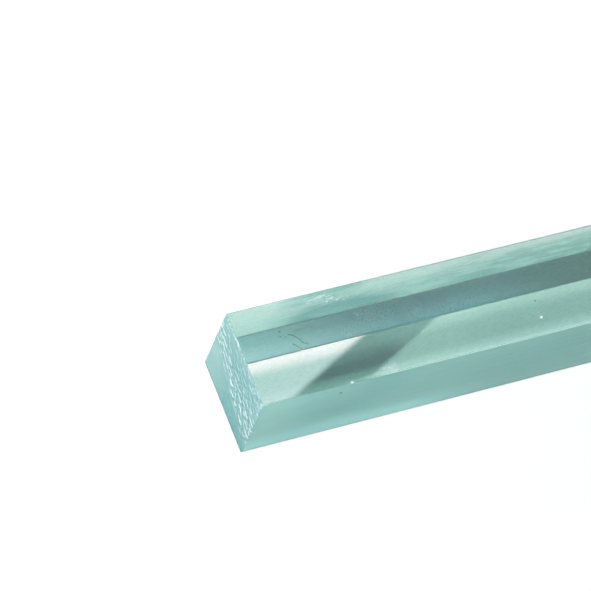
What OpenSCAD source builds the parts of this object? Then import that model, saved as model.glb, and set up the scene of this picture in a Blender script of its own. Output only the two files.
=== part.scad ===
// Square rod of clear tinted acrylic, sold as raw stock.
// One solid bar lies along X with its underside on the floor, and both ends are sawn square.
// All sizes are in millimetres, and the origin is the middle of the underside.

/* [Section] */
// Side of the square section, from flat to flat
side_w = 20; // [6:1:60]
// Radius of the four long edges
edge_r = 0.2; // [0.2:0.1:2]

/* [Length] */
// Length of the bar between its sawn ends
rod_l = 300; // [50:10:2000]

/* [Sawn ends] */
// Depth of the small bevel that breaks the edges around each sawn end
end_bevel = 0.1; // [0.05:0.05:0.15]

/* [Colour] */
// Red, green, blue and opacity of the tinted material
tint = [0.62, 0.85, 0.84, 0.5]; // [0:0.01:1]

/* [Hidden] */
$fn = 64;

// Half of the section, which is also the height of the bar's own axis
half_w = side_w / 2;
// Half of the length
half_l = rod_l / 2;
// Distance from the bar's axis to the centre of each long edge's round
round_at = half_w - edge_r;

// Turns a shape that was built along Z so that it lies along X
module along_x() {
    rotate([0, 90, 0])
        children();
}

// Half outline of a body of the bar's length, `reach` out from the axis, with both end edges bevelled
function half_outline(reach) = [
    [0, -half_l],
    [reach - end_bevel, -half_l],
    [reach, -half_l + end_bevel],
    [reach, half_l - end_bevel],
    [reach - end_bevel, half_l],
    [0, half_l]
];

// The same outline mirrored into a whole one
function whole_outline(reach) = concat(
    half_outline(reach),
    [for (i = [4 : -1 : 1]) [-half_outline(reach)[i][0], half_outline(reach)[i][1]]]
);

// Slab through the whole section that stops short of the rounds on its two sides
module slab() {
    rotate([90, 0, 0])
        linear_extrude(height = 2 * round_at, center = true)
            polygon(whole_outline(half_w));
}

// Round of one long edge, whose ends are cones that carry the bevel around the corner
module long_edge() {
    rotate_extrude()
        polygon(half_outline(edge_r));
}

// The bar: two crossed slabs and a round in each corner between them
module square_rod() {
    color(tint)
        translate([0, 0, half_w])
            along_x() {
                for (turn = [0, 90])
                    rotate([0, 0, turn])
                        slab();
                for (x = [-round_at, round_at], y = [-round_at, round_at])
                    translate([x, y, 0])
                        long_edge();
            }
}

square_rod();
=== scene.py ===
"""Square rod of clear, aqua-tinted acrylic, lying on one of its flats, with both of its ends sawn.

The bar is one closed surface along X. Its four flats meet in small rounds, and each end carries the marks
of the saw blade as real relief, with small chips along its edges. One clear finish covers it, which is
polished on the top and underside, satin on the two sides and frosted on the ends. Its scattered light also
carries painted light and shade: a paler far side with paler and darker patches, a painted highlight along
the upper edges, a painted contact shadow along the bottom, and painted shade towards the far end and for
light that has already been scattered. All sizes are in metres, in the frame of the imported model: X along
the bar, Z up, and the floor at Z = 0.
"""

import logging
import math
from dataclasses import astuple, dataclass
from enum import Enum
from typing import Callable, Union

import bpy
import numpy as np
from mathutils import Matrix, Vector


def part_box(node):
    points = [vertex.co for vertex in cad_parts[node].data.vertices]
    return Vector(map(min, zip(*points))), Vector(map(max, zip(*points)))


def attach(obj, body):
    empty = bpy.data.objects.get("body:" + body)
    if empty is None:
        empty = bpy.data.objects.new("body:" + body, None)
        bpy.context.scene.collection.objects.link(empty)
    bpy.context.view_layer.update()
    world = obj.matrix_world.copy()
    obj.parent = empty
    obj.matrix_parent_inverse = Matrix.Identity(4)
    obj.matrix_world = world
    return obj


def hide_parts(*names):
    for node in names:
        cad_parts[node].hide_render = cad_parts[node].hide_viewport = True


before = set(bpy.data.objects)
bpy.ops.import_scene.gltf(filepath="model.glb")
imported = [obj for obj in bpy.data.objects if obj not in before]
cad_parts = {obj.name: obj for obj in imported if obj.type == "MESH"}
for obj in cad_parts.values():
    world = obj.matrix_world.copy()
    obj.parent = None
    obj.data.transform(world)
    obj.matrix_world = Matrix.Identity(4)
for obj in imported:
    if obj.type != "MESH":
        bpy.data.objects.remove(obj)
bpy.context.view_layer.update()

MM = 0.001
NODE = "square_rod"
PIECE = "square_rod_acrylic"

log = logging.getLogger("square_rod")

Number = Union[float, "Socket"]
Colour = tuple[float, float, float]
Point = tuple[float, float, float]
Span = tuple[float, float]


# Shader maths


def maths(operation: str, swapped: bool = False) -> Callable[..., "Socket"]:
    """A method that adds a Math node.

    Args:
        operation: the node's operation.
        swapped: whether its terms are swapped, for a reflected operator.

    Returns:
        The method, which gives the node's output.
    """

    def method(self: "Socket", *others: Number) -> "Socket":
        """The operation on this and the others."""
        terms = (*others, self) if swapped else (self, *others)
        return self.tree.add("ShaderNodeMath", {"operation": operation}, dict(enumerate(terms)))

    return method


class Socket:
    """An output of a shader node that can stand in sums, products and comparisons with numbers.

    A comparison is 1 where it is true and 0 elsewhere. most and least are the larger and the smaller of two
    values, and floor is the whole number below one.
    """

    __add__, __radd__ = maths("ADD"), maths("ADD", swapped=True)
    __sub__, __rsub__ = maths("SUBTRACT"), maths("SUBTRACT", swapped=True)
    __mul__, __rmul__ = maths("MULTIPLY"), maths("MULTIPLY", swapped=True)
    __truediv__, __pow__, __abs__ = maths("DIVIDE"), maths("POWER"), maths("ABSOLUTE")
    __gt__, __lt__ = maths("GREATER_THAN"), maths("LESS_THAN")
    most, least = maths("MAXIMUM"), maths("MINIMUM")
    root, sine, floor = maths("SQRT"), maths("SINE"), maths("FLOOR")

    def __init__(self, tree: "ShaderTree", link: bpy.types.NodeSocket) -> None:
        """Wraps link, an output of a node in tree."""
        self.tree = tree
        self.link = link

    def step(self, start: float, end: float) -> "Socket":
        """Rises smoothly from 0 where this is start to 1 where it is end."""
        inputs = {"Value": self, "From Min": start, "From Max": end}
        return self.tree.add("ShaderNodeMapRange", {"interpolation_type": "SMOOTHSTEP"}, inputs)

    def fall(self, start: float, end: float) -> "Socket":
        """Falls smoothly from 1 where this is start to 0 where it is end."""
        return 1 - self.step(start, end)

    def between(self, low: float, high: float) -> "Socket":
        """The number low where this is 0, high where it is 1, and in proportion between them."""
        return self * (high - low) + low


class ShaderTree:
    """The node tree of a material or of the world, emptied and ready for new nodes."""

    def __init__(self, owner: Union[bpy.types.Material, bpy.types.World]) -> None:
        """Empties the tree.

        Args:
            owner: the material or world that has it.
        """
        owner.use_nodes = True
        self.tree = owner.node_tree
        self.tree.nodes.clear()

    def add(
        self, kind: str, settings: dict | None = None, inputs: dict | None = None, output: int | str = 0
    ) -> Socket:
        """Adds one node.

        Args:
            kind: the node's type, such as ShaderNodeMath.
            settings: what is set on the node itself, first.
            inputs: a value or a Socket for each input, by its name or number.
            output: the name or number of the output to use.

        Returns:
            That output, or a Socket without a link for a node that has none.
        """
        node = self.tree.nodes.new(kind)
        for name, value in (settings or {}).items():
            setattr(node, name, value)
        for name, value in (inputs or {}).items():
            if isinstance(value, Socket):
                self.tree.links.new(value.link, node.inputs[name])
            else:
                node.inputs[name].default_value = value
        return Socket(self, node.outputs[output] if node.outputs else None)

    def parts(self, vector: Socket) -> tuple[Socket, ...]:
        """The X, Y and Z of vector."""
        node = self.add("ShaderNodeSeparateXYZ", {}, {0: vector}).link.node
        return tuple(Socket(self, output) for output in node.outputs)

    def joined(self, x: Number, y: Number, z: Number) -> Socket:
        """The vector of x, y and z."""
        return self.add("ShaderNodeCombineXYZ", {}, {0: x, 1: y, 2: z})

    def noise(self, place: Socket, detail: float = 2.0, rough: float = 0.5) -> Socket:
        """Smooth noise from 0 to 1 at place, with features about one unit wide."""
        inputs = {"Vector": place, "Scale": 1.0, "Detail": detail, "Roughness": rough}
        return self.add("ShaderNodeTexNoise", {}, inputs)

    def blend(self, share: Number, first: Union[Socket, Colour], second: Union[Socket, Colour]) -> Socket:
        """Mixes two colours.

        Args:
            share: how much of the second there is, from 0 to 1.
            first: the colour where share is 0.
            second: the colour where share is 1.

        Returns:
            The mixed colour.
        """
        ends = [value if isinstance(value, Socket) else (*value, 1.0) for value in (first, second)]
        inputs = {"Factor": share, 6: ends[0], 7: ends[1]}
        return self.add("ShaderNodeMix", {"data_type": "RGBA"}, inputs, output=2)


# Smooth noise for surfaces


class LatticeNoise:
    """Smooth noise from 0 to 1 for whole arrays, from one seeded table of random numbers."""

    SIZE = 256

    def __init__(self, seed: int) -> None:
        """Fills the table from seed."""
        self.table = np.random.default_rng(seed).random((self.SIZE, self.SIZE))

    def over(self, s: np.ndarray, t: np.ndarray) -> np.ndarray:
        """Noise over two parameters: the four table values around (s, t), mixed by the step 3k² − 2k³.

        Args:
            s: the first parameter, with one random value at each whole number.
            t: the second parameter, of a shape that goes with that of s.

        Returns:
            One value for each pair.
        """
        s, t = np.broadcast_arrays(np.asarray(s, float), np.asarray(t, float))
        low_s, low_t = np.floor(s), np.floor(t)
        k, m = s - low_s, t - low_t
        k, m = k * k * (3 - 2 * k), m * m * (3 - 2 * m)
        i, j = low_s.astype(int) % self.SIZE, low_t.astype(int) % self.SIZE
        i2, j2 = (i + 1) % self.SIZE, (j + 1) % self.SIZE
        low = self.table[i, j] * (1 - k) + self.table[i2, j] * k
        high = self.table[i, j2] * (1 - k) + self.table[i2, j2] * k
        return low * (1 - m) + high * m


# The bar


@dataclass(frozen=True)
class BladePass:
    """One pass of a saw blade over a sawn end: rings around the blade's centre, broken into dashes.

    slope is the angle at which the marks fall across the end, in degrees below level, towards the side
    given by towards. radius is how far the blade's centre is from the middle of the end. pitch is from ring
    to ring, thick the share of it that a mark takes, and dash sets how long the marks are. share is how
    pale they are. drift and uneven sway the rings along and across them. beats are the rate and the start
    of the two waves that break a ring into marks, and a mark fades in where their sum is within beat_range.
    """

    slope: float
    radius: float
    pitch: float
    dash: float
    depth: float
    share: float = 1.0
    thick: float = 0.33
    towards: int = -1
    drift: float = 0.25
    uneven: Span = (0.12, 2.0)
    beats: tuple[Span, Span] = ((2.1, 2.4), (3.7, 4.08))
    beat_range: Span = (-0.4, 0.5)

    def centre(self, middle: float) -> Span:
        """The blade's centre in Y and Z: straight below the marks, at right angles to their fall."""
        fall = math.radians(self.slope)
        return -self.towards * math.sin(fall) * self.radius, middle - math.cos(fall) * self.radius

    def marks(
        self, away: Socket | np.ndarray, turn: Socket | np.ndarray, sine: Callable, floor: Callable
    ) -> tuple:
        """Where the marks of this pass lie.

        The rings are counted by the distance over the pitch, with a wave along them and one across them
        that keep them from being even. A mark runs where two waves along its ring add up to much, and they
        start elsewhere in each ring.

        Args:
            away: distances from the blade's centre.
            turn: lengths along the rings.
            sine: the sine of such a value.
            floor: the whole number below such a value.

        Returns:
            How far each place is from the middle of its ring, from 0 to 1, and the sum of its two waves.
        """
        turn = turn * (1 / self.dash)
        count = away * (1 / self.pitch)
        swing, often = self.uneven
        count = count + sine(turn) * self.drift + sine(count * often) * swing
        ring = floor(count)
        waves = [sine(turn * rate + ring * start) for rate, start in self.beats]
        return abs((count - ring) * 2 - 1), waves[0] + waves[1]


@dataclass(frozen=True)
class Chip:
    """A small chip in the edge of a sawn end, as an oval dent, in millimetres.

    y and z are its place, long and wide its half sizes along Y and Z, and depth how far it goes in.
    """

    y: float
    z: float
    long: float
    wide: float
    depth: float


@dataclass(frozen=True)
class SawnEnd:
    """The relief of one sawn end: the marks of its blade passes, a fine grain, and chips around its edge.

    A blade's depth is shared between its marks and a noise of ridges, and shoulder is the share of a mark's
    width that it takes to reach its depth. grain_shift and chip_shift give the grain and the small chips
    random numbers of their own. The three ranges vary the sizes, lengths and depths of the small chips.
    """

    seed: int
    passes: tuple[BladePass, ...]
    chips: tuple[Chip, ...] = ()
    ridge_share: float = 0.2
    ridge_rate: float = 2.0
    shoulder: float = 0.7
    grain: float = 0.012 * MM
    grain_size: float = 0.2 * MM
    grain_shift: int = 90
    calm_strip: float = 1.8 * MM
    calm_share: float = 0.25
    small_chips: int = 70
    small_chip_size: float = 0.22 * MM
    small_chip_depth: float = 0.10 * MM
    chip_shift: int = 500
    size_range: Span = (0.4, 1.6)
    length_range: Span = (1.0, 3.5)
    depth_range: Span = (0.3, 1.5)

    def marks(self, y: np.ndarray, z: np.ndarray, half: float) -> np.ndarray:
        """Depth of the saw marks at each place.

        Each pass digs its marks, and a noise along the distance from its centre alone adds shallow ridges.
        The marks fade out towards the lowest strip of the end, which the blade leaves smoother.

        Args:
            y: places across the end.
            z: heights of the places.
            half: half of the bar's side.

        Returns:
            Depths into the bar, none below 0.
        """
        depth = np.zeros_like(y)
        for number, cut in enumerate(self.passes):
            noise = LatticeNoise(self.seed + number)
            centre_y, centre_z = cut.centre(half)
            away = np.hypot(y - centre_y, z - centre_z)
            turn = np.arctan2(z - centre_z, y - centre_y) * cut.radius
            aside, beat = cut.marks(away, turn, np.sin, np.floor)
            profile = np.clip((cut.thick - aside) / (self.shoulder * cut.thick), 0, 1)
            low, high = cut.beat_range
            dug = profile * profile * (3 - 2 * profile) * np.clip((beat - low) / (high - low), 0, 1)
            ridges = noise.over(away / cut.pitch * self.ridge_rate, 0)
            depth += cut.depth * (self.ridge_share * ridges + (1 - self.ridge_share) * dug)
        shift = self.grain_shift
        grain = LatticeNoise(self.seed + shift)
        depth += self.grain * grain.over(y / self.grain_size + shift, z / self.grain_size + shift)
        calm = np.clip(z / self.calm_strip, 0, 1)
        return depth * (self.calm_share + (1 - self.calm_share) * calm * calm * (3 - 2 * calm))

    def chipping(self, y: np.ndarray, z: np.ndarray, half: float) -> np.ndarray:
        """Depth of the chips at each place.

        Each chip gives its depth times 1 less the squared distance from it, in shares of its own size.

        Args:
            y: places across the end.
            z: heights of the places.
            half: half of the bar's side.

        Returns:
            Depths into the bar, 0 away from the chips.
        """
        rng = np.random.default_rng(self.seed + self.chip_shift)
        count = self.small_chips
        run = rng.uniform(-half, half, count)
        side = rng.integers(0, 4, count)
        size = self.small_chip_size * rng.uniform(*self.size_range, count)
        level = side < 2
        edge = np.where(side % 2 == 0, -half, half)
        chip_y = np.where(level, run, edge)
        chip_z = np.where(level, edge, run) + half
        chip_long = size * np.where(level, rng.uniform(*self.length_range, count), 1.0)
        chip_wide = size * np.where(level, 1.0, rng.uniform(*self.length_range, count))
        chip_depth = self.small_chip_depth * rng.uniform(*self.depth_range, count)
        given = MM * np.array([astuple(chip) for chip in self.chips]).reshape(-1, 5).T
        random = np.array([chip_y, chip_z, chip_long, chip_wide, chip_depth])
        all_y, all_z, long, wide, depth = np.concatenate([given, random], axis=1)
        away = ((y[..., None] - all_y) / long) ** 2 + ((z[..., None] - all_z) / wide) ** 2
        return (depth * np.clip(1 - away, 0, None)).max(axis=-1)


@dataclass
class SquareRod:
    """The bar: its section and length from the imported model, and how finely its surface is worked out.

    Its flats have waves, and ripples that are finer by ripple_rates and lower by ripple_share. Both rise
    from nothing at the ends, end_rise times as fast as a parabola. Each flat takes its noise side_shift
    further on than the last, from wave_start.
    """

    lowest: Vector
    highest: Vector
    near_end: SawnEnd
    far_end: SawnEnd
    edge_round: float = 0.2 * MM
    end_bevel: float = 0.1 * MM
    flat_cells: int = 132
    round_cells: int = 4
    stations: int = 64
    wave_depth: float = 0.016 * MM
    wave_across: float = 6.5 * MM
    wave_along: float = 22.0 * MM
    wave_start: int = 60
    wave_seeds: tuple[int, int] = (11, 12)
    ripple_share: float = 0.4
    ripple_rates: Span = (3.0, 1.7)
    side_shift: int = 40
    end_rise: float = 8.0
    chip_reach: float = 1.0 * MM
    sharp_angle: float = 34.0

    @property
    def half(self) -> float:
        """Half of the side of the square section."""
        return (self.highest.y - self.lowest.y) / 2

    @property
    def half_length(self) -> float:
        """Half of the bar's length."""
        return (self.highest.x - self.lowest.x) / 2

    def at(self, along: float, across: float, up: float) -> Point:
        """The place that is this far from the near end, across from the middle and up, in millimetres."""
        return -self.half_length + along * MM, across * MM, up * MM

    def end_grid(self) -> tuple[np.ndarray, np.ndarray, np.ndarray]:
        """Places of a sawn end's vertices, as a square grid whose corners are bent into rounds.

        The grid lines are even across the flat and even again across each round. In a corner, the place
        (p, q) in a unit square goes to (p √(1 − q²/2), q √(1 − p²/2)) in a quarter disc, which has the
        round's radius.

        Returns:
            Y, Z above the floor, and the distance in from the nearest edge before bending, as square arrays.
        """
        flat = self.half - self.edge_round
        middle = np.linspace(-flat, flat, self.flat_cells + 1)
        outer = np.linspace(flat, self.half, self.round_cells + 1)[1:]
        lines = np.concatenate([-outer[::-1], middle, outer])
        a, b = np.meshgrid(lines, lines, indexing="ij")
        p = np.clip((np.abs(a) - flat) / self.edge_round, 0, 1)
        q = np.clip((np.abs(b) - flat) / self.edge_round, 0, 1)
        y = np.sign(a) * (np.minimum(np.abs(a), flat) + self.edge_round * p * np.sqrt(1 - q * q / 2))
        z = np.sign(b) * (np.minimum(np.abs(b), flat) + self.edge_round * q * np.sqrt(1 - p * p / 2))
        inward = np.minimum(self.half - np.abs(a), self.half - np.abs(b))
        return y, z + self.half, inward

    def end_depth(self, end: SawnEnd, y: np.ndarray, z: np.ndarray, inward: np.ndarray) -> np.ndarray:
        """How far each place of an end lies inside the bar's full length: its bevel, saw marks and chips.

        Args:
            end: the end's relief.
            y: places across the end.
            z: heights of the places.
            inward: distances in from the nearest edge.

        Returns:
            One depth for each place, none below 0.
        """
        bevel = np.clip(self.end_bevel - inward, 0, None)
        inside = np.clip(inward / self.end_bevel, 0, 1)
        return bevel + inside * end.marks(y, z, self.half) + end.chipping(y, z, self.half)

    def ring(self, count: int) -> tuple[np.ndarray, np.ndarray]:
        """Where the outline of an end's grid lies in it, once around from its first corner.

        Args:
            count: the number of grid lines each way.

        Returns:
            The first and the second index of each place.
        """
        run, last = np.arange(count - 1), count - 1
        first = np.concatenate([run, np.full_like(run, last), last - run, np.zeros_like(run)])
        second = np.concatenate([np.zeros_like(run), run, np.full_like(run, last), last - run])
        return first, second

    def flats(self, ring_y: np.ndarray, ring_z: np.ndarray) -> np.ndarray:
        """Vertices of the four long flats between the two ends, row by row.

        The outline is carried along X. Each place on a flat moves into the bar by a noise over its place
        along and across, times the product of two parabolas that bring it back to 0 at the long edges and
        at the ends.

        Args:
            ring_y: Y of the outline.
            ring_z: Z of the outline.

        Returns:
            An array of rows, places around and X, Y, Z, without the ends' own rows.
        """
        inner = self.half_length - self.chip_reach
        x = np.linspace(-inner, inner, self.stations)[:, None]
        height = ring_z - self.half
        on_side = np.abs(ring_y) > np.abs(height)
        across = np.where(on_side, height, ring_y)
        flat = self.half - self.edge_round
        from_ends = np.clip((inner**2 - x**2) / inner**2 * self.end_rise, 0, 1)
        calm = np.clip(1 - (across / flat) ** 2, 0, 1) * from_ends
        side_number = np.where(on_side, np.where(ring_y > 0, 1, 3), np.where(height > 0, 2, 4))
        waves, ripples = (LatticeNoise(seed) for seed in self.wave_seeds)
        s, t, shift = x / self.wave_along, across / self.wave_across, side_number * self.side_shift
        rate_s, rate_t = self.ripple_rates
        wave = waves.over(s + self.wave_start, t + shift)
        wave += self.ripple_share * ripples.over(s * rate_s + self.wave_start, t * rate_t + shift)
        push = self.wave_depth * wave * calm
        y = ring_y - np.sign(ring_y) * push * on_side
        z = ring_z - np.sign(height) * push * ~on_side
        return np.stack([np.broadcast_to(x, y.shape), y, z], axis=-1)

    def build(self) -> bpy.types.Object:
        """Makes the bar's closed mesh: the near end's grid, the rows of the flats and the far end's grid.

        The outline of each end's grid is also the first or last row of the flats, so that no seam is open.

        Returns:
            The bar as one object at the origin.
        """
        y, z, inward = self.end_grid()
        near_x = -self.half_length + self.end_depth(self.near_end, y, z, inward)
        far_x = self.half_length - self.end_depth(self.far_end, y, z, inward)
        count = len(y)
        first, second = self.ring(count)
        rows = self.flats(y[first, second], z[first, second])
        near = np.stack([near_x, y, z], axis=-1)
        far = np.stack([far_x, y, z], axis=-1)
        places = np.concatenate([near.reshape(-1, 3), far.reshape(-1, 3), rows.reshape(-1, 3)])

        near_at = np.arange(count * count).reshape(count, count)
        far_at = near_at + count * count
        rows_at = 2 * count * count + np.arange(rows.shape[0] * rows.shape[1]).reshape(rows.shape[:2])
        belt = np.concatenate([near_at[first, second][None], rows_at, far_at[first, second][None]])
        ahead = np.roll(belt, -1, axis=1)
        faces = np.concatenate([
            self.quads(near_at[:-1, :-1], near_at[:-1, 1:], near_at[1:, 1:], near_at[1:, :-1]),
            self.quads(far_at[:-1, :-1], far_at[1:, :-1], far_at[1:, 1:], far_at[:-1, 1:]),
            self.quads(belt[:-1], ahead[:-1], ahead[1:], belt[1:]),
        ])
        return self.as_object(places, faces)

    @staticmethod
    def quads(*corners: np.ndarray) -> np.ndarray:
        """Rows of four vertex numbers from four arrays of corners."""
        return np.stack([corner.ravel() for corner in corners], axis=-1)

    def as_object(self, places: np.ndarray, faces: np.ndarray) -> bpy.types.Object:
        """Puts vertices and four-sided faces into a new object, smooth apart from its real edges.

        Args:
            places: X, Y and Z of each vertex.
            faces: four vertex numbers for each face, in turn around its outside.

        Returns:
            The new object, in the scene.
        """
        mesh = bpy.data.meshes.new(PIECE)
        mesh.vertices.add(len(places))
        mesh.vertices.foreach_set("co", places.astype(np.float32).ravel())
        mesh.loops.add(faces.size)
        mesh.loops.foreach_set("vertex_index", faces.astype(np.int32).ravel())
        mesh.polygons.add(len(faces))
        mesh.polygons.foreach_set("loop_start", np.arange(0, faces.size, 4, dtype=np.int32))
        mesh.update(calc_edges=True)
        mesh.validate()
        mesh.shade_smooth()
        mesh.set_sharp_from_angle(angle=math.radians(self.sharp_angle))
        piece = bpy.data.objects.new(PIECE, mesh)
        bpy.context.scene.collection.objects.link(piece)
        return piece


# The finish


@dataclass(frozen=True)
class Scratch:
    """A fine bowed scratch on the top, through three places along the bar and across, in millimetres."""

    start: Span
    middle: Span
    end: Span
    width: float = 0.16

    def circle(self) -> tuple[Span, float]:
        """The circle through the three places.

        Its centre is as far from the middle as from each end, which gives two linear equations.

        Returns:
            The centre, along and across, and the radius, in millimetres.
        """
        start, middle, end = (np.array(place) for place in (self.start, self.middle, self.end))
        sides = 2 * np.array([middle - start, end - middle])
        centre = np.linalg.solve(sides, [middle @ middle - start @ start, end @ end - middle @ middle])
        return (float(centre[0]), float(centre[1])), float(np.linalg.norm(centre - middle))

    def reach(self) -> float:
        """How far the scratch runs from its middle, in millimetres."""
        return max(math.dist(self.middle, self.start), math.dist(self.middle, self.end))


@dataclass(frozen=True)
class Speck:
    """A small round mark: its place along the bar, across and up, and its radius, in millimetres."""

    along: float
    across: float
    up: float
    radius: float


@dataclass(frozen=True)
class ScuffPatch:
    """A patch of fine hairs on the top: its middle and half sizes in millimetres, and its strength.

    angle is how far the hairs turn from the bar's length towards the far side, in degrees. hair and thick
    are about the length and the width of one of them. They are the noise above level, and fade in over
    soft. core is the share of the half sizes within which the patch shows whole.
    """

    along: float
    across: float
    long: float
    wide: float
    strength: float
    angle: float
    hair: float = 0.9
    thick: float = 0.16
    level: float = 0.58
    soft: float = 0.06
    core: float = 0.5

    def over(self, tree: ShaderTree, along: Socket, across: Socket) -> Socket:
        """Its hairs, as the peaks of a noise that is long in their direction, within the patch.

        Args:
            tree: the material's tree.
            along: lengths from the near end, in millimetres.
            across: lengths across from the middle, in millimetres.

        Returns:
            Its strength on the hairs, and 0 elsewhere.
        """
        turn = math.radians(self.angle)
        down = (along * math.cos(turn) + across * math.sin(turn)) / self.hair
        aside = (across * math.cos(turn) - along * math.sin(turn)) / self.thick
        hairs = tree.noise(tree.joined(down, aside, self.angle), detail=1.0)
        hairs = hairs.step(self.level, self.level + self.soft)
        inside = abs(along - self.along).fall(self.core * self.long, self.long)
        inside = inside * abs(across - self.across).fall(self.core * self.wide, self.wide)
        return hairs * inside * self.strength


def scuffed(tree: ShaderTree, along: Socket, across: Socket, patches: tuple[ScuffPatch, ...]) -> Number:
    """The hairs of all patches together.

    Args:
        tree: the material's tree.
        along: lengths from the near end, in millimetres.
        across: lengths across from the middle, in millimetres.
        patches: the patches of hairs.

    Returns:
        The most that any of them gives at each place.
    """
    found: Number = 0.0
    for patch in patches:
        found = patch.over(tree, along, across).most(found)
    return found


@dataclass(frozen=True)
class Patch:
    """A soft patch of a side or end: where it fades in and out along the bar and up it, and its strength.

    Each pair is where a fade starts and ends, in millimetres. The patch is open where a pair is missing.
    """

    enter: Span | None = None
    leave: Span | None = None
    above: Span | None = None
    below: Span | None = None
    share: float = 1.0

    def over(self, along: Socket, up: Socket) -> Number:
        """Its strength at each place.

        Args:
            along: lengths from the near end, in millimetres.
            up: heights above the floor, in millimetres.

        Returns:
            Its share times each of its fades.
        """
        found: Number = self.share
        for place, rise, fall in ((along, self.enter, self.leave), (up, self.above, self.below)):
            found = place.step(*rise) * found if rise else found
            found = place.fall(*fall) * found if fall else found
        return found


@dataclass(frozen=True)
class Grain:
    """A noise with its feature sizes along X, Y and Z, in millimetres, and the two levels that cut it."""

    sizes: Point
    detail: float = 2.0
    rough: float = 0.5
    cut: Span | None = None

    def over(self, tree: ShaderTree, spot: tuple[Socket, ...]) -> Socket:
        """The noise at each place.

        Args:
            tree: the material's tree.
            spot: X, Y and Z of the places, in millimetres.

        Returns:
            The noise, from 0 to 1, cut to a mask if it has levels for that.
        """
        place = tree.joined(*(part / size for part, size in zip(spot, self.sizes)))
        found = tree.noise(place, detail=self.detail, rough=self.rough)
        return found.step(*self.cut) if self.cut else found


@dataclass(frozen=True)
class SideWear:
    """How the long sides are marked, and the light and shade that are painted on them.

    near, high, top, dull and deeper are patches of the far side, and low is one of the near side. They are
    not
    marks but painted light and shade: near with its lower part, high, top and low are paler, and dull and
    deeper are darker. bright_streak cuts the noise of the streaks, and fleck_sides is how strong the flecks
    are on the near side and on the far one. The other pairs are where a mask starts and ends, in millimetres
    from the long edges or from the near end, among them those of the painted highlight along the upper edges
    and of the painted contact shadow along the bottom of the front.
    """

    streaks: Grain = Grain((18, 0.4, 0.4), detail=4.0, rough=0.6)
    bright_streak: Span = (0.60, 0.75)
    rubbed: Grain = Grain((10, 5, 3.4), detail=3.0, rough=0.55, cut=(0.42, 0.68))
    fleck_hairs: Grain = Grain((1.6, 0.3, 0.26), detail=1.0, cut=(0.60, 0.70))
    fleck_patches: Grain = Grain((6, 4, 4), cut=(0.44, 0.60))
    fleck_sides: Span = (0.3, 1.0)
    near: tuple[Patch, ...] = (Patch(leave=(8, 19)), Patch(enter=(31, 41), leave=(41, 58), share=0.45))
    high: tuple[Patch, ...] = (
        Patch(above=(7, 13), share=0.3),
        Patch(leave=(32, 62), above=(7, 13), share=0.7),
    )
    top: tuple[Patch, ...] = (
        Patch(enter=(27, 32), above=(12, 17), share=0.25),
        Patch(enter=(45, 62), above=(12, 17), share=0.75),
    )
    dull: tuple[Patch, ...] = (Patch(enter=(10, 15), leave=(25, 31), above=(11, 14)),)
    deeper: tuple[Patch, ...] = (Patch(enter=(13, 19), leave=(33, 44), below=(6, 13)),)
    low: tuple[Patch, ...] = (Patch(leave=(34, 58), below=(2, 8)),)
    near_foot: Patch = Patch(below=(8, 16))
    # Where the painted highlight along the upper long edges lies, and the stretch near the end that it
    # leaves out.
    highlight_in: Span = (0.20, 0.36)
    highlight_down: Span = (0.05, 0.14)
    highlight_along: Span = (20, 24)
    highlight_end: Span = (4.5, 7)
    # Where the painted contact shadow lies: a dark line along the bottom of the front from 45 mm on, in a
    # strip of the front, up to a height, with its share.
    front_contact_shadow: Patch = Patch(enter=(45, 60))
    front_strip: float = 0.25
    contact_shadow: Span = (0.15, 0.45)
    contact_shadow_share: float = 0.45


@dataclass(frozen=True)
class EndWear:
    """How the sawn ends are marked, with lengths in millimetres.

    Most pairs are where a mask starts and ends, and a range is the strength for a mask of 0 and one of 1.
    The saw's marks stop at a line that rises towards the far side. They are strongest on a ridge that rises
    too, and in a nearer part. The rim is a paler line around the end, and the chips are white specks on it.
    """

    smears: Grain = Grain((9, 9, 9), detail=3.0)
    grain_size: float = 0.55
    pale_grain: Span = (0.56, 0.68)
    pale_grain_share: float = 0.5
    dark_grain: Span = (0.34, 0.46)
    dark_grain_share: float = 0.8
    line_core: float = 0.3
    gap_levels: Span = (0.5, 0.9)
    stop_rise: float = 0.38
    stop_fade: Span = (1.0, 4.2)
    ridge_rise: float = 0.5
    ridge_up: float = 9.5
    ridge_fade: Span = (1.5, 4.5)
    nearer_across: Span = (-4, 0)
    nearer_up: Span = (11, 15)
    mark_range: Span = (0.5, 1.0)
    gap_range: Span = (0.6, 1.0)
    corner_across: Span = (-1, 8)
    corner_up: Span = (7, 13)
    paler: tuple[Patch, ...] = (Patch(above=(3, 8), share=0.07), Patch(above=(12, 16), share=0.02))
    rim_reach: Span = (0.22, 0.38)
    rim_grain: Grain = Grain((0.55, 0.55, 0.55), cut=(0.45, 0.60))
    rim_range: Span = (0.1, 1.0)
    rim_top: Span = (19.2, 19.6)
    rim_far_side: Span = (5, 11)
    chip_grain: Grain = Grain((0.42, 0.42, 0.42), detail=1.0, cut=(0.60, 0.66))
    chips_under_top: Span = (0.3, 1.1)
    chips_nearer: Span = (1.0, 3.5)
    chips_nearer_across: Span = (-6, 2)
    chips_upright: Span = (0.6, 2.4)
    chips_upright_up: Span = (8, 14)
    chips_upright_share: float = 0.5


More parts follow.
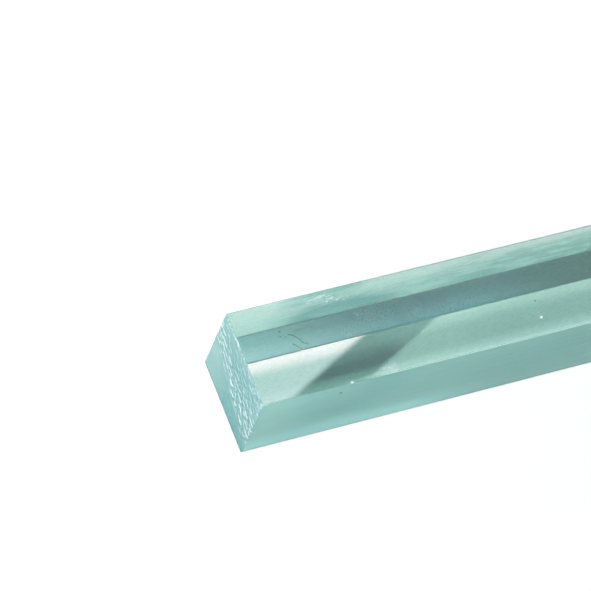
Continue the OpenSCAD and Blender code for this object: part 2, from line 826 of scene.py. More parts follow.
@dataclass(frozen=True)
class Wear:
    """How the bar is worked and marked, with painted light and shade: its regions, the passes of the saw and
    the marks in set places.

    end_reach is how far a sawn end's finish reaches along the bar, in millimetres, and satin_reach how far
    a side's reaches in from its flat, in shares of the edge's round. A core or a tail is the share of a
    mark's size at which it starts to fade.
    """

    blades: tuple[BladePass, ...]
    pale_specks: tuple[Speck, ...] = ()
    dark_specks: tuple[Speck, ...] = ()
    scratches: tuple[Scratch, ...] = ()
    scuffs: tuple[ScuffPatch, ...] = ()
    dark_scuffs: tuple[ScuffPatch, ...] = ()
    scratch_breaks: Grain = Grain((0.5, 0.5, 0.5), cut=(0.35, 0.60))
    scratch_range: Span = (0.4, 1.0)
    scratch_core: float = 0.3
    scratch_tail: float = 0.85
    speck_core: float = 0.5
    end_reach: Span = (0.24, 0.30)
    satin_reach: Span = (0.7, 1.0)
    sides: SideWear = SideWear()
    ends: EndWear = EndWear()


class Masks:
    """Where each part and each mark of the bar's surface lies, and where light and shade are painted on it,
    as sockets from 0 to 1 in one material.

    Lengths are in millimetres: spot is from the middle of the underside, along from the near end.
    """

    def __init__(self, tree: ShaderTree, rod: SquareRod, wear: Wear) -> None:
        """Works out the masks.

        Args:
            tree: the material's tree.
            rod: the bar, for its sizes.
            wear: how the bar is worked and worn.
        """
        self.tree, self.rod, self.wear = tree, rod, wear
        self.place = tree.add("ShaderNodeTexCoord", output="Object")
        self.spot = tuple(part / MM for part in tree.parts(self.place))
        half_length, self.half = rod.half_length / MM, rod.half / MM
        self.along, self.across, self.up = self.spot[0] + half_length, self.spot[1], self.spot[2]
        self.from_side = self.half - abs(self.across)
        self.from_top = 2 * self.half - self.up
        self.far_side = self.across > 0.0
        self.sawn = (half_length - abs(self.spot[0])).fall(*wear.end_reach)
        round_reach = [share * rod.edge_round / MM for share in wear.satin_reach]
        self.satin = self.from_side.fall(*round_reach) * (1 - self.sawn)
        self.polished_top = (1 - self.sawn) * (1 - self.satin) * (self.up > self.half)

        sides = wear.sides
        self.streaks = sides.streaks.over(tree, self.spot)
        self.rubbed = sides.rubbed.over(tree, self.spot)
        self.flecks = sides.fleck_hairs.over(tree, self.spot) * sides.fleck_patches.over(tree, self.spot)
        self.flecks = self.flecks * self.far_side.between(*sides.fleck_sides)
        # Painted light and shade, not marks: near with its lower part, high and top are paler patches of the
        # far side, low a paler one low on the front, and dull and deeper darker ones.
        self.near = self.far_side * self.patched(sides.near)
        self.dull = self.far_side * self.patched(sides.dull)
        self.high = self.far_side * self.patched(sides.high) * (1 - self.dull)
        self.top = self.far_side * self.patched(sides.top)
        self.deeper = self.far_side * self.patched(sides.deeper)
        self.low = (1 - self.far_side) * self.patched(sides.low)
        self.near_foot = self.near * self.patched((sides.near_foot,))
        # A painted highlight along the upper long edges.
        self.edge_highlight = self.painted_edge_highlight()

        ends = wear.ends
        self.smears = ends.smears.over(tree, self.spot)
        self.marks, self.gaps = self.saw_marks()
        self.chips = self.edge_chips() * self.sawn
        self.rim = self.end_rim() * self.sawn
        self.corner = self.across.step(*ends.corner_across) * self.up.fall(*ends.corner_up)
        self.paler = self.patched(ends.paler)

        self.pale = self.specks(wear.pale_specks)
        self.scuffs = scuffed(tree, self.along, self.across, wear.scuffs) * self.polished_top
        # Dark marks, and a painted contact shadow along the bottom of the front and the ends.
        self.dark = self.dark_marks_and_contact_shadow()

    def patched(self, patches: tuple[Patch, ...]) -> Socket:
        """The strengths of all patches together."""
        return sum(patch.over(self.along, self.up) for patch in patches)

    def painted_edge_highlight(self) -> Socket:
        """A painted highlight on the upper part of the rounds of the two upper long edges, apart from a
        stretch near the end.

        Returns:
            Their mask.
        """
        sides = self.wear.sides
        edges = self.from_side.fall(*sides.highlight_in) * self.from_top.fall(*sides.highlight_down)
        return edges * self.along.step(*sides.highlight_along).most(self.along.fall(*sides.highlight_end))

    def end_rim(self) -> Socket:
        """A broken line around the end, along its upper edge and down the upper part of its far one.

        Returns:
            Its mask.
        """
        ends = self.wear.ends
        nearest = self.from_side.least(self.half - abs(self.up - self.half))
        breaks = ends.rim_grain.over(self.tree, self.spot).between(*ends.rim_range)
        shown = self.up.step(*ends.rim_top).most(self.far_side * self.up.step(*ends.rim_far_side))
        return nearest.fall(*ends.rim_reach) * breaks * shown

    def edge_chips(self) -> Socket:
        """White specks of broken edge around the end, most of them along its upper edge.

        Returns:
            Their mask.
        """
        ends = self.wear.ends
        under_top = self.from_top.fall(*ends.chips_under_top)
        nearer = self.from_top.fall(*ends.chips_nearer) * self.across.fall(*ends.chips_nearer_across)
        upright = (self.across + self.half).fall(*ends.chips_upright) * self.up.step(*ends.chips_upright_up)
        around = under_top.most(nearer).most(ends.chips_upright_share * upright)
        return ends.chip_grain.over(self.tree, self.spot) * around

    def saw_marks(self) -> tuple[Socket, Socket]:
        """The saw's pale marks on the ends, and the darker gaps between them.

        The marks lie where each blade pass digs its own, and a gap where two of its rings meet. A fine grain
        along the last pass adds to both. They fade out in the smooth part of the end, below a rising line.

        Returns:
            The marks and the gaps.
        """
        ends, tree = self.wear.ends, self.tree
        marks: Number = 0.0
        gaps: Number = 0.0
        for blade in self.wear.blades:
            centre_y, centre_z = blade.centre(self.rod.half)
            across, up = self.across * MM - centre_y, self.up * MM - centre_z
            away = (across * across + up * up).root()
            turn = tree.add("ShaderNodeMath", {"operation": "ARCTAN2"}, {0: up, 1: across}) * blade.radius
            aside, beat = blade.marks(away, turn, Socket.sine, Socket.floor)
            found = beat.step(*blade.beat_range) * blade.share
            marks = (aside.fall(ends.line_core * blade.thick, blade.thick) * found).most(marks)
            gaps = (aside.step(*ends.gap_levels) * found).most(gaps)
        size = ends.grain_size * MM
        grain = tree.noise(tree.joined(away / size, turn / size, 0.0))
        marks = marks.most(ends.pale_grain_share * grain.step(*ends.pale_grain))
        gaps = gaps.most(ends.dark_grain_share * grain.fall(*ends.dark_grain))
        above = (self.up - ends.stop_rise * (self.across + self.half)).step(*ends.stop_fade)
        ridge = abs(self.up - ends.ridge_rise * self.across - ends.ridge_up).fall(*ends.ridge_fade)
        weight = ridge.most(self.across.fall(*ends.nearer_across) * self.up.fall(*ends.nearer_up))
        kept_gaps = gaps * above * weight.between(*ends.gap_range) * (1 - marks)
        return marks * above * weight.between(*ends.mark_range), kept_gaps

    def dark_marks_and_contact_shadow(self) -> Socket:
        """The dark specks, scratches and hairs, and a painted contact shadow: a dark line along the bottom
        of the front and the ends.

        Returns:
            Their mask.
        """
        sides = self.wear.sides
        breaks = self.wear.scratch_breaks.over(self.tree, self.spot).between(*self.wear.scratch_range)
        hairs = scuffed(self.tree, self.along, self.across, self.wear.dark_scuffs) * self.polished_top
        # A painted contact shadow: a dark line along the bottom of the front and of the sawn ends.
        front = self.patched((sides.front_contact_shadow,)) * (self.across < sides.front_strip - self.half)
        contact_shadow = self.sawn.most(front) * self.up.fall(*sides.contact_shadow)
        lines = self.scratches() * breaks
        return self.specks(self.wear.dark_specks).most(lines).most(sides.contact_shadow_share * contact_shadow).most(hairs)

    def specks(self, specks: tuple[Speck, ...]) -> Socket:
        """Small round marks, which fade out towards their radius.

        Args:
            specks: their places and sizes.

        Returns:
            Their mask.
        """
        found: Number = 0.0
        for speck in specks:
            away = self.distance(self.rod.at(speck.along, speck.across, speck.up))
            found = away.fall(self.wear.speck_core * speck.radius, speck.radius).most(found)
        return found

    def scratches(self) -> Socket:
        """The scratches, each as the part of its circle that lies near its middle.

        Returns:
            Their mask.
        """
        found: Number = 0.0
        for scratch in self.wear.scratches:
            centre, radius = scratch.circle()
            from_line = abs(self.distance(self.rod.at(*centre, 2 * self.half)) - radius)
            line = from_line.fall(self.wear.scratch_core * scratch.width, scratch.width)
            from_middle = self.distance(self.rod.at(*scratch.middle, 2 * self.half))
            reach = scratch.reach()
            found = (line * from_middle.fall(self.wear.scratch_tail * reach, reach)).most(found)
        return found

    def distance(self, target: Point) -> Socket:
        """How far each place is from target, which is in metres like the place, in millimetres."""
        inputs = {0: self.place, 1: target}
        return self.tree.add("ShaderNodeVectorMath", {"operation": "DISTANCE"}, inputs, output="Value") / MM


@dataclass(frozen=True)
class Haze:
    """The share of light that each part scatters instead of passing it on clearly."""

    satin: float = 0.62
    sawn: float = 0.8
    far_rubbed: Span = (0.12, 0.42)
    patch: float = 0.25
    saw_mark: float = 0.5
    # Haze added in the painted light and shade patches of the sides.
    pale: float = 0.9
    # Haze of the painted highlight along the upper edges.
    edge_highlight: float = 0.35
    dark: float = 0.3
    most: float = 0.95


@dataclass(frozen=True)
class Whiteness:
    """How pale each mark, painted-light patch and painted edge highlight makes the scattered light. A pair
    is for a mask of 0 and one of 1.
    """

    rim: float = 0.7
    corner: float = 0.3
    far_rubbed: Span = (0.1, 0.55)
    # Painted shade: less paleness in the dull and deeper patches.
    where_dull: Span = (1.0, 0.4)
    streak: float = 0.2
    fleck: float = 0.5
    fleck_near: Span = (1.0, 0.4)
    # Painted light: how pale the paler patches of the sides are.
    near: float = 0.36
    near_foot: float = 0.15
    high: float = 0.3
    top: float = 0.75
    # Paleness of the painted highlight along the upper edges.
    edge_highlight: float = 0.5


@dataclass(frozen=True)
class TintedAcrylic:
    """Clear acrylic with a faint aqua tint that deepens with the depth of material behind it.

    The colours from haze_colour to valley_colour are those of scattered light on its different parts. Some
    of
    them are painted light and shade: a painted shade that darkens it towards the far end, a paler painted
    light for the far side, its patches and the highlight of the upper edges, and a paler painted light low
    on the front. The colour after valley_colour is a dark painted shade for light that has already been
    scattered, which keeps the floor beneath the bar dark. A swing is how a noise of 0 and of 1 changes a
    region's roughness and haze.
    """

    wear: Wear
    ior: float = 1.49
    tint: Colour = (0.12, 0.87, 0.80)
    tint_density: float = 8.0
    surface_colour: Colour = (0.97, 0.99, 0.985)
    haze_colour: Colour = (0.32, 0.62, 0.61)
    # Painted shade: the scattered light darkens towards the far end, over the pair of lengths below.
    far_shade_colour: Colour = (0.24, 0.50, 0.50)
    far_shade_fade: Span = (5.0, 75.0)
    # Painted light: a paler colour for the far side, its patches and the upper edges, and its share on the
    # far side and in the deeper patch.
    painted_light_colour: Colour = (0.57, 0.91, 0.79)
    painted_light_range: Span = (0.7, 0.3)
    # Painted light: a paler colour low on the front.
    painted_low_light_colour: Colour = (0.48, 0.89, 0.87)
    rubbed_colour: Colour = (0.82, 0.98, 0.91)
    stroke_colour: Colour = (0.86, 0.98, 1.0)
    sawn_colour: Colour = (0.30, 0.60, 0.61)
    valley_colour: Colour = (0.18, 0.41, 0.45)
    # Painted shade: a dark colour for light that has already been scattered, which keeps the floor beneath
    # dark.
    painted_bounce_shade_colour: Colour = (0.03, 0.14, 0.14)
    # The colour of the dark marks, and of the painted contact shadow.
    dark_mark_and_shadow_colour: Colour = (0.10, 0.20, 0.20)
    shadow_colour: Colour = (0.97, 0.98, 0.98)
    polished_roughness: float = 0.015
    satin_roughness: float = 0.34
    sawn_roughness: float = 0.42
    dark_mark_roughness: float = 0.3
    satin_swing: Span = (0.7, 1.3)
    sawn_swing: Span = (0.75, 1.25)
    streak_height: float = 0.004
    mark_height: float = 0.05
    dark_mark_depth: float = 0.02
    inward_share: float = 0.5
    # More light let through in the painted-light patch near the end, and less in the one low on the front.
    inward_near: float = 0.1
    inward_low: float = 0.4
    inward_marks: float = 0.45
    haze: Haze = Haze()
    white: Whiteness = Whiteness()

    def dress(self, piece: bpy.types.Object, rod: SquareRod) -> None:
        """Gives a piece this finish.

        Args:
            piece: the bar's object.
            rod: the bar, for its sizes.
        """
        material = bpy.data.materials.new("tinted_acrylic")
        tree = ShaderTree(material)
        masks = Masks(tree, rod, self.wear)
        seen = self.seen(tree, masks)
        passed = tree.add("ShaderNodeBsdfTransparent", {}, {"Color": (*self.shadow_colour, 1.0)})
        shadow_ray = tree.add("ShaderNodeLightPath", output="Is Shadow Ray")
        clear_share = shadow_ray * (1 - (masks.satin + masks.sawn + masks.scuffs).least(1.0))
        surface = tree.add("ShaderNodeMixShader", {}, {0: clear_share, 1: seen, 2: passed})
        absorption = {"Color": (*self.tint, 1.0), "Density": self.tint_density}
        inside = tree.add("ShaderNodeVolumeAbsorption", {}, absorption)
        tree.add("ShaderNodeOutputMaterial", {}, {"Surface": surface, "Volume": inside})
        piece.data.materials.append(material)

    def seen(self, tree: ShaderTree, on: Masks) -> Socket:
        """The surface that all but shadow rays meet: clear acrylic, mixed with what scatters light.

        Args:
            tree: the material's tree.
            on: the masks of its parts and marks.

        Returns:
            The mixed shader.
        """
        height = on.satin * self.streak_height * on.streaks + on.sawn * self.mark_height * on.marks
        height = height - self.dark_mark_depth * on.dark
        bump = {"Strength": 1.0, "Distance": MM, "Height": height}
        normal = tree.add("ShaderNodeBump", {}, bump, output="Normal")
        clear = tree.add("ShaderNodeBsdfPrincipled", {}, {
            "Base Color": tree.blend(on.dark, self.surface_colour, self.dark_mark_and_shadow_colour),
            "Roughness": self.roughness_over(on),
            "Normal": normal,
            "IOR": self.ior,
            "Transmission Weight": 1.0,
        })
        colour = self.colour_over(tree, on)
        outward = tree.add("ShaderNodeBsdfDiffuse", {}, {"Color": colour, "Normal": normal})
        inward = tree.add("ShaderNodeBsdfTranslucent", {}, {"Color": colour, "Normal": normal})
        bright = (on.sawn * on.marks.most(on.chips)).most(on.pale).most(on.scuffs)
        # The painted-light patches let more or less light through from outside.
        sides = on.satin * (self.inward_near * on.near - self.inward_low * on.low)
        inward_share = self.inward_share + sides - self.inward_marks * bright
        scattered = tree.add("ShaderNodeMixShader", {}, {0: inward_share, 1: outward, 2: inward})
        return tree.add("ShaderNodeMixShader", {}, {0: self.haze_over(on), 1: clear, 2: scattered})

    def roughness_over(self, on: Masks) -> Socket:
        """How rough the clear surface is.

        Args:
            on: the masks of its parts and marks.

        Returns:
            The roughness, at most 1.
        """
        satin = on.satin * self.satin_roughness * on.streaks.between(*self.satin_swing)
        sawn = on.sawn * self.sawn_roughness * on.smears.between(*self.sawn_swing)
        return (self.polished_roughness + satin + sawn + self.dark_mark_roughness * on.dark).least(1.0)

    def haze_over(self, on: Masks) -> Socket:
        """The share of light that is scattered.

        Args:
            on: the masks of its parts and marks.

        Returns:
            The share, at most that of the haziest places.
        """
        haze = self.haze
        side = haze.satin * on.streaks.between(*self.satin_swing)
        side = side + on.far_side * on.rubbed.between(*haze.far_rubbed)
        # Haze of the painted light and shade patches.
        side = side + haze.patch * on.near.most(on.high).most(on.low).most(on.top)
        end = haze.sawn * on.smears.between(*self.sawn_swing) + haze.saw_mark * on.marks.most(on.chips)
        # Marks, with haze for the painted highlight along the upper edges.
        marks = haze.pale * on.pale + haze.edge_highlight * on.edge_highlight + haze.dark * on.dark + on.scuffs
        return (on.satin * side + on.sawn * end + marks).least(haze.most)

    def white_over(self, on: Masks) -> Socket:
        """How much paler than the plain tint the scattered light is.

        Args:
            on: the masks of its parts and marks.

        Returns:
            0 for the plain tint to 1 for the pale colour.
        """
        white = self.white
        end = on.marks.most(white.rim * on.rim).most(on.chips).most(white.corner * on.corner) + on.paler
        rubbed = on.far_side * on.rubbed.between(*white.far_rubbed)
        # Painted shade: less paleness in the dull and deeper patches.
        rubbed = rubbed * on.deeper.most(on.dull).between(*white.where_dull)
        streaks = white.streak * on.streaks.step(*self.wear.sides.bright_streak)
        flecks = white.fleck * on.flecks * on.near.between(*white.fleck_near)
        # Painted light: the paler patches of the sides.
        patches = white.near * on.near + white.near_foot * on.near_foot
        patches = patches + white.high * on.high + white.top * on.top
        side = (rubbed + streaks) * (1 - on.near) + flecks + patches
        # Pale marks, with the painted highlight along the upper edges.
        return (on.sawn * end + on.satin * side + on.scuffs + on.pale + white.edge_highlight * on.edge_highlight).least(1.0)

    def colour_over(self, tree: ShaderTree, on: Masks) -> Socket:
        """The colour of scattered light, with painted light and shade in it, and a dark painted shade for
        light that has been scattered before.

        Args:
            tree: the material's tree.
            on: the masks of its parts and marks.

        Returns:
            The colour.
        """
        # Painted light: the far side, most of all its paler patches, and the upper edges take the paler
        # colour, and the deeper patch less of it.
        painted_light_share = (on.far_side * on.deeper.between(*self.painted_light_range)).most(on.near).most(on.high).most(on.top)
        painted_light_share = (on.satin * painted_light_share).most(on.edge_highlight)
        # Painted shade, darker towards the far end.
        plain = tree.blend(on.along.step(*self.far_shade_fade), self.haze_colour, self.far_shade_colour)
        # Painted light: paler low on the front.
        plain = tree.blend(on.satin * on.low, plain, self.painted_low_light_colour)
        frosted = tree.blend(on.gaps, self.sawn_colour, self.valley_colour)
        tinted = tree.blend(on.sawn, tree.blend(painted_light_share, plain, self.painted_light_colour), frosted)
        pale = tree.blend(on.satin, self.stroke_colour, self.rubbed_colour)
        # Dark marks and the painted contact shadow.
        marked = tree.blend(on.dark, tree.blend(self.white_over(on), tinted, pale), self.dark_mark_and_shadow_colour)
        # Painted shade: light that has already been scattered meets a dark colour, which keeps the floor
        # beneath dark.
        painted_bounce_shade = tree.add("ShaderNodeLightPath", output="Diffuse Depth") > 0.5
        return tree.blend(painted_bounce_shade, marked, self.painted_bounce_shade_colour)


# The studio


class Ray(Enum):
    """Kinds of ray that see the pale background as it is."""

    CAMERA = "Is Camera Ray"
    GLOSSY = "Is Glossy Ray"
    THROUGH = "Is Transmission Ray"


def background_rays(tree: ShaderTree) -> Socket:
    """Finds the rays that show the background to the camera, also by way of gloss or clear material.

    Args:
        tree: the tree that asks.

    Returns:
        1 for such rays, and 0 for others.
    """
    direct = tree.add("ShaderNodeLightPath", output="Diffuse Depth") < 0.5
    kinds = [tree.add("ShaderNodeLightPath", output=ray.value) for ray in Ray]
    return (kinds[0] + kinds[1] + kinds[2]).least(1.0) * direct


@dataclass(frozen=True)
class Surroundings:
    """The world: even studio light, and what the camera sees around the floor."""

    light: Colour = (0.96, 0.98, 1.0)
    light_strength: float = 0.05
    horizon: Colour = (1.0, 1.0, 1.0)
    ceiling: Colour = (0.26, 0.45, 0.45)
    horizon_height: float = 0.05
    ceiling_height: float = 0.30

    def build(self) -> None:
        """Sets the scene's world."""
        world = bpy.data.worlds.new("studio")
        bpy.context.scene.world = world
        tree = ShaderTree(world)
        up = tree.parts(tree.add("ShaderNodeTexCoord", output="Generated"))[2]
        shown = tree.blend(up.step(self.horizon_height, self.ceiling_height), self.horizon, self.ceiling)
        light_inputs = {"Color": (*self.light, 1.0), "Strength": self.light_strength}
        light = tree.add("ShaderNodeBackground", {}, light_inputs)
        seen = tree.add("ShaderNodeBackground", {}, {"Color": shown, "Strength": 1.0})
        both = tree.add("ShaderNodeMixShader", {}, {0: background_rays(tree), 1: light, 2: seen})
        tree.add("ShaderNodeOutputWorld", {}, {"Surface": both})


@dataclass(frozen=True)
class Floor:
    """The plain pale floor that the bar lies on.

    gap is how far it lies under the bar, and lift is the light of its own that it shows to the camera.
    """

    reach: float = 30.0
    gap: float = 0.04 * MM
    colour: Colour = (0.94, 0.94, 0.94)
    lift: float = 0.03

    def build(self) -> bpy.types.Object:
        """Makes the floor as one large face.

        Returns:
            The floor's object.
        """
        r, z = self.reach, -self.gap
        mesh = bpy.data.meshes.new("floor")
        mesh.from_pydata([(-r, -r, z), (r, -r, z), (r, r, z), (-r, r, z)], [], [(0, 1, 2, 3)])
        floor = bpy.data.objects.new("floor", mesh)
        bpy.context.scene.collection.objects.link(floor)
        material = bpy.data.materials.new("pale_floor")
        tree = ShaderTree(material)
        matt = tree.add("ShaderNodeBsdfDiffuse", {}, {"Color": (*self.colour, 1.0)})
        strength = background_rays(tree) * self.lift
        glow = tree.add("ShaderNodeEmission", {}, {"Color": (1, 1, 1, 1), "Strength": strength})
        both = tree.add("ShaderNodeAddShader", {}, {0: matt, 1: glow})
        tree.add("ShaderNodeOutputMaterial", {}, {"Surface": both})
        mesh.materials.append(material)
        return floor


@dataclass(frozen=True)
class Lamp:
    """A round studio lamp that shines at a target from a direction and distance."""

    name: str
    towards: Point
    distance: float
    target: Point
    radius: float
    power: float
    colour: Colour = (1.0, 1.0, 1.0)

    def build(self) -> bpy.types.Object:
        """Makes the lamp, turned to its target.

        Returns:
            The lamp's object.
        """
        light = bpy.data.lights.new(self.name, "AREA")
        light.shape = "DISK"
        light.size = 2 * self.radius
        light.energy = self.power
        light.color = self.colour
        lamp = bpy.data.objects.new(self.name, light)
        direction = Vector(self.towards).normalized()
        lamp.location = Vector(self.target) + direction * self.distance
        lamp.rotation_euler = direction.to_track_quat("Z", "Y").to_euler()
        lamp.visible_camera = False
        bpy.context.scene.collection.objects.link(lamp)
        return lamp


@dataclass(frozen=True)
class Overhead:
    """A far overhead light whose rays come straight down, within spread degrees.

    level is what it adds to the shade of a white floor.
    """

    level: float = 0.80
    spread: float = 0.4

    def build(self) -> bpy.types.Object:
        """Makes the light.

        Returns:
            The light's object.
        """
        light = bpy.data.lights.new("overhead", "SUN")
        light.energy = math.pi * self.level
        light.angle = math.radians(self.spread)
        lamp = bpy.data.objects.new("overhead", light)
        lamp.visible_transmission = False
        lamp.visible_glossy = False
        bpy.context.scene.collection.objects.link(lamp)
        return lamp


@dataclass(frozen=True)
class CardTint:
    """The tint of one part of a shading card: its plain middle, beside the strip, and at its near edge.

    glow_across is where the plain middle gives way to the tint beside the strip, in millimetres across.
    """

    plain: Colour
    glow: Colour
    edge: Colour
    glow_across: Span = (0.4, 3.6)


@dataclass(frozen=True)
class StripTint:
    """The tint of one stretch of the card's strip: beside the plain middle, and along the far side."""

    inner: Colour
    outer: Colour


@dataclass(frozen=True)
class ShadingCard:
    """A tinted card held over the bar, out of the picture, which shades the floor beneath it.

    Lengths but its height are in millimetres, along the bar from its near end and across from its middle.
    The card holds back light in a strip along the far side and in a slanting band, and lets most through
    beside the strip near the end. It is open over a front strip, a hole and the scuffed hairs, which catch
    the light. slant is how far the band runs along for each millimetre across, and hole is the place of
    the hole, along and across, and its radius.
    """

    height: float = 2.0 * MM
    strip_edge: float = 4.2
    far_line: float = 9.6
    far_line_share: float = 0.35
    line_width: float = 0.2
    line_colour: Colour = (0.0, 0.06, 0.07)
    slant: float = 2.03
    band: tuple[float, float, float, float] = (19.1, 22.7, 35.3, 38.5)
    edge_across: Span = (2.1, 4.2)
    strip_fades: tuple[Span, ...] = ((0.0, 46.0), (50.0, 76.0))
    open_front: Span = (4.0, 5.4)
    open_along: Span = (19.0, 30.0)
    open_near: float = 0.25
    hole: Point = (18.4, -9.7, 0.9)
    strip_inner: Span = (4.8, 8.6)
    near: CardTint = CardTint((0.75, 0.84, 0.79), (1.72, 1.31, 1.29), (0.92, 0.96, 0.92))
    far: CardTint = CardTint((0.36, 0.50, 0.43), (0.72, 0.81, 0.71), (0.57, 0.73, 0.63), (0.4, 4.4))
    farthest: CardTint = CardTint((0.28, 0.40, 0.35), (0.58, 0.70, 0.60), (0.44, 0.60, 0.53), (0.4, 4.4))
    far_fade: Span = (38.0, 64.0)
    strip: tuple[StripTint, ...] = (
        StripTint((0.56, 0.76, 0.76), (0.34, 0.55, 0.54)),
        StripTint((0.07, 0.19, 0.22), (0.0, 0.02, 0.05)),
        StripTint((0.0, 0.0, 0.0), (0.0, 0.0, 0.0)),
    )
    shade: CardTint = CardTint((0.02, 0.05, 0.05), (0.18, 0.31, 0.25), (0.14, 0.30, 0.24), (-1.2, 3.2))
    open_colour: Colour = (1.0, 1.0, 1.0)
    scuff_patches: tuple[ScuffPatch, ...] = ()

    def build(self, rod: SquareRod) -> bpy.types.Object:
        """Makes the card as one face just over the bar's top.

        Args:
            rod: the bar, for its sizes.

        Returns:
            The card's object.
        """
        x, y, z = rod.half_length, rod.half, 2 * rod.half + self.height
        mesh = bpy.data.meshes.new("shading_card")
        mesh.from_pydata([(-x, -y, z), (x, -y, z), (x, y, z), (-x, y, z)], [], [(0, 1, 2, 3)])
        card = bpy.data.objects.new("shading_card", mesh)
        bpy.context.scene.collection.objects.link(card)
        for ray in ("camera", "diffuse", "glossy", "transmission", "volume_scatter"):
            setattr(card, f"visible_{ray}", False)
        mesh.materials.append(self.material(rod))
        return card

    def material(self, rod: SquareRod) -> bpy.types.Material:
        """The card's tint: the strip, the slanting band and the open parts, as masks over its place.

        Args:
            rod: the bar, for its length.

        Returns:
            The new material.
        """
        material = bpy.data.materials.new("card_tint")
        tree = ShaderTree(material)
        x, y, _ = tree.parts(tree.add("ShaderNodeTexCoord", output="Object"))
        along, across = (x + rod.half_length) / MM, y / MM
        slanted = along - self.slant * across
        left, left_full, right_full, right = self.band
        beyond = slanted.step(left_full, right_full)
        nearer = -1 * across
        edge = nearer.step(*self.edge_across)
        parts = []
        for tint in (self.near, self.far, self.farthest, self.shade):
            glow = across.step(*tint.glow_across)
            parts.append(tree.blend(edge, tree.blend(glow, tint.plain, tint.glow), tint.edge))
        lit = tree.blend(beyond, parts[0], tree.blend(along.step(*self.far_fade), *parts[1:3]))
        band = slanted.step(left, left_full) * slanted.fall(right_full, right)
        banded = tree.blend(band, lit, parts[3])
        outer = across.step(*self.strip_inner)
        stretches = [tree.blend(outer, tint.inner, tint.outer) for tint in self.strip]
        strip = stretches[0]
        for fade, stretch in zip(self.strip_fades, stretches[1:]):
            strip = tree.blend(along.step(*fade), strip, stretch)
        on_line = abs(across - self.strip_edge) < self.line_width / 2
        on_line = on_line.most(self.far_line_share * (across > self.far_line))
        shaded = tree.blend(on_line, tree.blend(across > self.strip_edge, banded, strip), self.line_colour)
        hole_x, hole_y, hole_radius = self.hole
        from_hole = ((along - hole_x) ** 2 + (across - hole_y) ** 2).root()
        open_share = along.step(*self.open_along).between(self.open_near, 1.0)
        front = nearer.step(*self.open_front) * open_share
        opened = front.most(from_hole < hole_radius).most(scuffed(tree, along, across, self.scuff_patches))
        colour = tree.blend(opened, shaded, self.open_colour)
        surface = tree.add("ShaderNodeBsdfTransparent", {}, {"Color": colour})
        tree.add("ShaderNodeOutputMaterial", {}, {"Surface": surface})
        return material


@dataclass(frozen=True)
class PhotoCamera:
    """The photograph's camera, as solved from the edges of the bar in it.

    sides_from_end is its place in sides of the section, from the middle of the near end's lower edge.
    forward and up are unit vectors, and focal is the focal length in pixels of the square photograph.
    """

    focal: float = 3839.0
    photo_width: float = 591.0
    sensor: float = 36.0
    sides_from_end: Point = (-11.849, -13.035, 32.152)
    forward: Point = (0.3471, 0.3739, -0.8600)
    up: Point = (0.2217, 0.8584, 0.4627)
    clip: Span = (0.01, 100.0)

    def build(self, rod: SquareRod) -> bpy.types.Object:
        """Makes the camera and hands it to the scene.

        Args:
            rod: the bar, for its side and the place of its near end.

        Returns:
            The camera's object.
        """
        data = bpy.data.cameras.new("photo_camera")
        data.sensor_width = self.sensor
        data.lens = self.focal / self.photo_width * self.sensor
        data.clip_start, data.clip_end = self.clip
        camera = bpy.data.objects.new("photo_camera", data)
        side = 2 * rod.half
        place = Vector(self.sides_from_end) * side + Vector((-rod.half_length, 0, 0))
        back = -Vector(self.forward).normalized()
        right = Vector(self.up).cross(back).normalized()
        up = back.cross(right)
        turn = Matrix((right, up, back)).transposed().to_4x4()
        camera.matrix_world = Matrix.Translation(place) @ turn
        bpy.context.scene.collection.objects.link(camera)
        bpy.context.scene.camera = camera
        return camera


# The whole scene


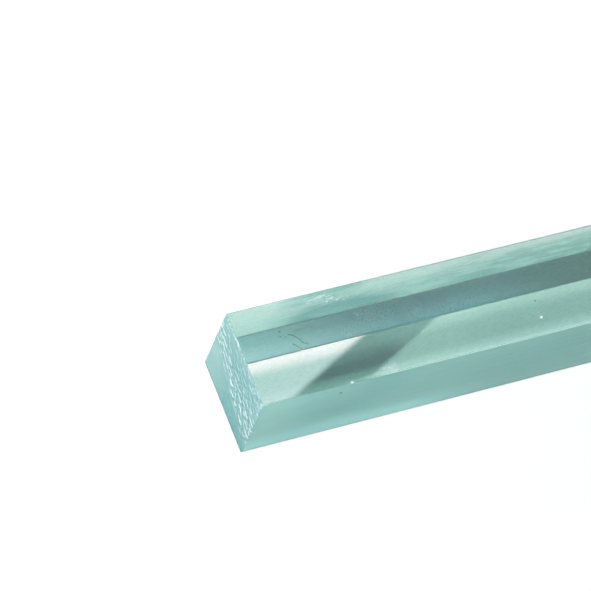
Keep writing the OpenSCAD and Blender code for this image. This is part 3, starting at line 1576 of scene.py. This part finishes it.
def main() -> None:
    """Builds the camera, the bar with its finish, and the studio."""
    logging.basicConfig(level=logging.INFO, format="%(name)s: %(message)s")
    bpy.context.scene.view_settings.view_transform = "Standard"
    lowest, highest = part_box(NODE)
    blades = (
        BladePass(slope=15, radius=150 * MM, pitch=1.5 * MM, dash=1.6 * MM, depth=0.060 * MM, thick=0.42),
        BladePass(
            slope=19, radius=130 * MM, pitch=1.15 * MM, dash=1.2 * MM, depth=0.035 * MM,
            share=0.8, thick=0.46, beat_range=(0.1, 0.9),
        ),
        BladePass(
            slope=11, radius=170 * MM, pitch=0.85 * MM, dash=0.8 * MM, depth=0.020 * MM,
            share=0.6, thick=0.45, beat_range=(0.2, 1.0),
        ),
    )
    near_chips = (
        Chip(y=4.0, z=20.0, long=0.6, wide=0.22, depth=0.14),
        Chip(y=2.2, z=20.0, long=0.4, wide=0.20, depth=0.12),
        Chip(y=-8.0, z=20.0, long=0.5, wide=0.25, depth=0.15),
        Chip(y=10.0, z=20.0, long=0.4, wide=0.4, depth=0.3),
    )
    rod = SquareRod(
        lowest=lowest,
        highest=highest,
        near_end=SawnEnd(seed=21, passes=blades, chips=near_chips),
        far_end=SawnEnd(seed=57, passes=blades),
    )
    scuff_patches = (
        ScuffPatch(18.4, 8.5, 4.4, 0.9, 1.0, 8, hair=2.6, thick=0.17, level=0.56),
        ScuffPatch(21.5, 7.5, 4.0, 0.9, 0.9, 4, hair=1.0, level=0.57),
        ScuffPatch(36.2, 1.0, 2.4, 1.9, 0.7, -82, hair=1.3, thick=0.16),
        ScuffPatch(36.4, 1.2, 2.2, 1.6, 0.6, 38, hair=0.8, thick=0.15, level=0.61),
        ScuffPatch(25.0, 0.4, 6.0, 1.3, 0.6, -75, hair=0.7, thick=0.14, level=0.58),
        ScuffPatch(28.0, 2.8, 6.0, 1.8, 0.55, 35, hair=0.7, thick=0.14, level=0.59),
        ScuffPatch(44.0, 0.4, 6.0, 1.2, 0.5, -50, hair=0.7, thick=0.14, level=0.60),
        ScuffPatch(26.5, -9.0, 2.6, 1.2, 1.0, -60, hair=0.5, thick=0.2, level=0.55),
        ScuffPatch(59.0, -5.0, 1.6, 0.8, 0.8, 30, hair=0.5, level=0.62),
    )
    fine_wear = (
        ScuffPatch(150.0, 0.0, 290.0, 19.0, 0.06, 18, hair=1.6, thick=0.22, level=0.52),
        ScuffPatch(150.0, 0.0, 290.0, 19.0, 0.05, -24, hair=1.1, thick=0.22, level=0.54),
    )
    dark_scuffs = (
        ScuffPatch(18.6, 8.6, 4.0, 0.9, 0.5, 9, hair=2.4, thick=0.17, level=0.60),
        ScuffPatch(27.5, 2.4, 5.0, 1.8, 0.5, 30, level=0.62),
        ScuffPatch(36.0, 1.1, 2.4, 1.8, 0.5, -80, hair=1.2, thick=0.17, level=0.62),
    )
    PhotoCamera().build(rod)
    piece = rod.build()
    wear = Wear(
        blades=blades,
        pale_specks=(
            Speck(18.4, -9.8, 19.9, 0.42),
            Speck(59.7, -6.3, 20, 0.4),
            Speck(0.05, 4.6, 19.7, 0.24),
            Speck(0.05, 3.0, 19.7, 0.20),
            Speck(0.05, -8.0, 19.7, 0.24),
            Speck(0.05, -8.8, 17.4, 0.24),
            Speck(0.05, -9.8, 18.7, 0.22),
            Speck(0.05, -9.5, 15.6, 0.28),
        ),
        dark_specks=(
            Speck(8.7, 3.74, 20, 0.26),
            Speck(8.5, 2.8, 20, 0.17),
            Speck(9.4, 2.4, 20, 0.14),
            Speck(16.8, -10, 16.8, 0.34),
            Speck(59.9, -2.7, 20, 0.2),
        ),
        scuffs=scuff_patches + fine_wear,
        dark_scuffs=dark_scuffs,
        scratches=(
            Scratch((10.05, 2.9), (11.4, 1.9), (12.3, 0.5)),
            Scratch((12.1, 0.75), (12.5, 0.3), (13.2, 0.05)),
            Scratch((10.2, 0.75), (11.0, -0.05), (11.7, -1.05), width=0.17),
        ),
    )
    TintedAcrylic(wear).dress(piece, rod)
    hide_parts(NODE)
    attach(piece, "root")
    log.info("%s: %d faces", piece.name, len(piece.data.polygons))
    Surroundings().build()
    Floor().build()
    near = (-rod.half_length, 0.0, rod.half)
    Overhead().build()
    Lamp(
        name="end_light", towards=(-0.91, -0.22, 0.35), distance=0.6, target=near, radius=0.15, power=2.4,
        colour=(0.95, 1.0, 1.0),
    ).build()
    Lamp(
        name="back_light", towards=(0.05, 0.93, 0.34), distance=0.8, target=near, radius=0.25, power=2.9,
    ).build()
    ShadingCard(scuff_patches=scuff_patches).build(rod)


if __name__ == "__main__":
    main()
